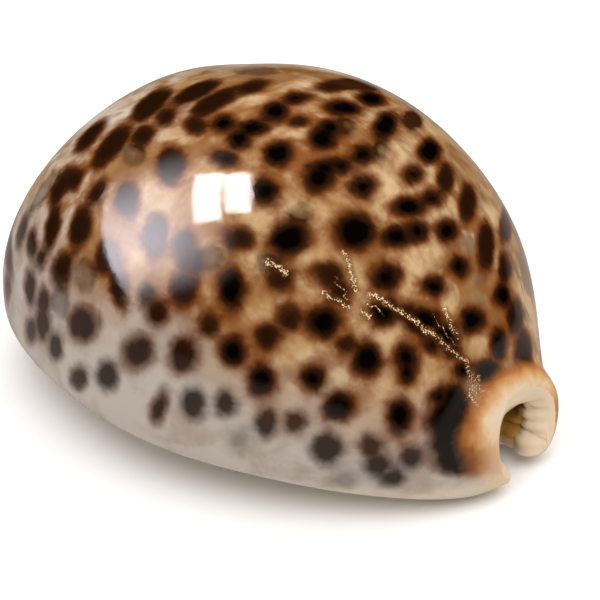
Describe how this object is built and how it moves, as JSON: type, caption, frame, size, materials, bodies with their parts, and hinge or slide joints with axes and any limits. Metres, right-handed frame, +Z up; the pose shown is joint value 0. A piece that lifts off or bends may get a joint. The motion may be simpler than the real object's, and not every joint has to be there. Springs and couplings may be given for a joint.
{
  "type": "cowrie shell",
  "caption": "Tiger cowrie shell with a glossy spotted back, a flat base with a toothed slit, and an arched channel at each end.",
  "frame": {"origin": "on the surface that the shell rests on, under the middle of its box", "axes": "+X to the front (anterior) end, -Y to the outer lip, +Z up through the back"},
  "size_m": [0.0848, 0.0662, 0.0454],
  "materials": {
    "enamel": "gloss"
  },
  "bodies": {
    "root": {"shell": "enamel"}
  },
  "joints": []
}
